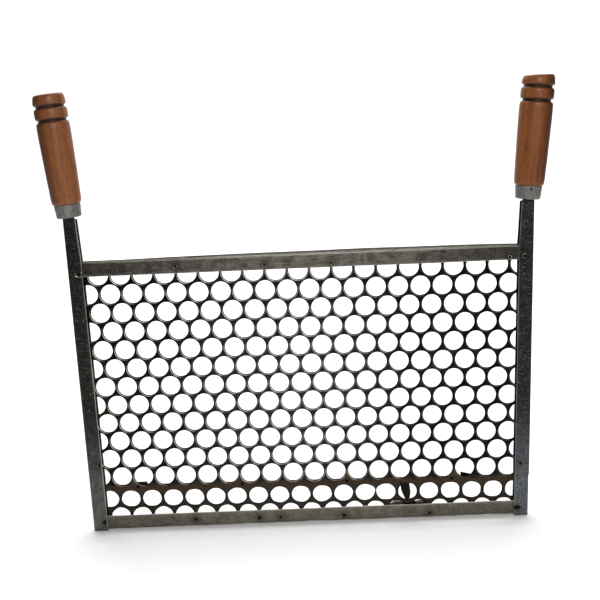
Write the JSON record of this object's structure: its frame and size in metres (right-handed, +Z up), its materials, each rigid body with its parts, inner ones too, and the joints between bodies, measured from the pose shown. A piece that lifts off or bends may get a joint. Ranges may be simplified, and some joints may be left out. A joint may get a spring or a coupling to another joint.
{
  "type": "barbecue grate",
  "caption": "Flat rectangular barbecue grate: round-hole punched sheet in a folded steel channel frame, side channels running up into turned wooden handles with ferrules.",
  "frame": {"origin": "on the ground under the middle of the frame, with the grate standing upright on the lower ends of its side bars", "axes": "+X to the right along the rails, +Y from the front face to the back, +Z up towards the handles"},
  "size_m": [0.501, 0.0322, 0.4458],
  "materials": {
    "punched_steel": "dark, oily punched sheet steel",
    "folded_steel": "dull galvanised sheet with fine scratches",
    "weld_metal": "bright ring round a dark pit",
    "ferrule_zinc": "matt grey",
    "handle_wood": "turned hardwood, waxed, red-brown",
    "tack_steel": "bright"
  },
  "bodies": {
    "root": {"bottom_left_weld": "weld_metal", "bottom_rail": "folded_steel", "bottom_rail_weld_1": "weld_metal", "bottom_rail_weld_2": "weld_metal", "bottom_rail_weld_3": "weld_metal", "bottom_rail_weld_4": "weld_metal", "bottom_rail_weld_5": "weld_metal", "bottom_right_weld": "weld_metal", "left_bar_weld_1": "weld_metal", "left_bar_weld_2": "weld_metal", "left_bar_weld_3": "weld_metal", "left_ferrule": "ferrule_zinc", "left_handle": "handle_wood", "left_side_bar": "folded_steel", "left_tack": "tack_steel", "lower_strip": "punched_steel", "right_bar_weld_1": "weld_metal", "right_bar_weld_2": "weld_metal", "right_bar_weld_3": "weld_metal", "right_ferrule": "ferrule_zinc", "right_handle": "handle_wood", "right_side_bar": "folded_steel", "right_tack": "tack_steel", "seam_weld_1": "weld_metal", "seam_weld_2": "weld_metal", "seam_weld_3": "weld_metal", "seam_weld_4": "weld_metal", "top_left_weld": "weld_metal", "top_rail": "folded_steel", "top_rail_weld_1": "weld_metal", "top_rail_weld_2": "weld_metal", "top_rail_weld_3": "weld_metal", "top_rail_weld_4": "weld_metal", "top_rail_weld_5": "weld_metal", "top_right_weld": "weld_metal", "upper_sheet": "punched_steel"}
  },
  "joints": []
}
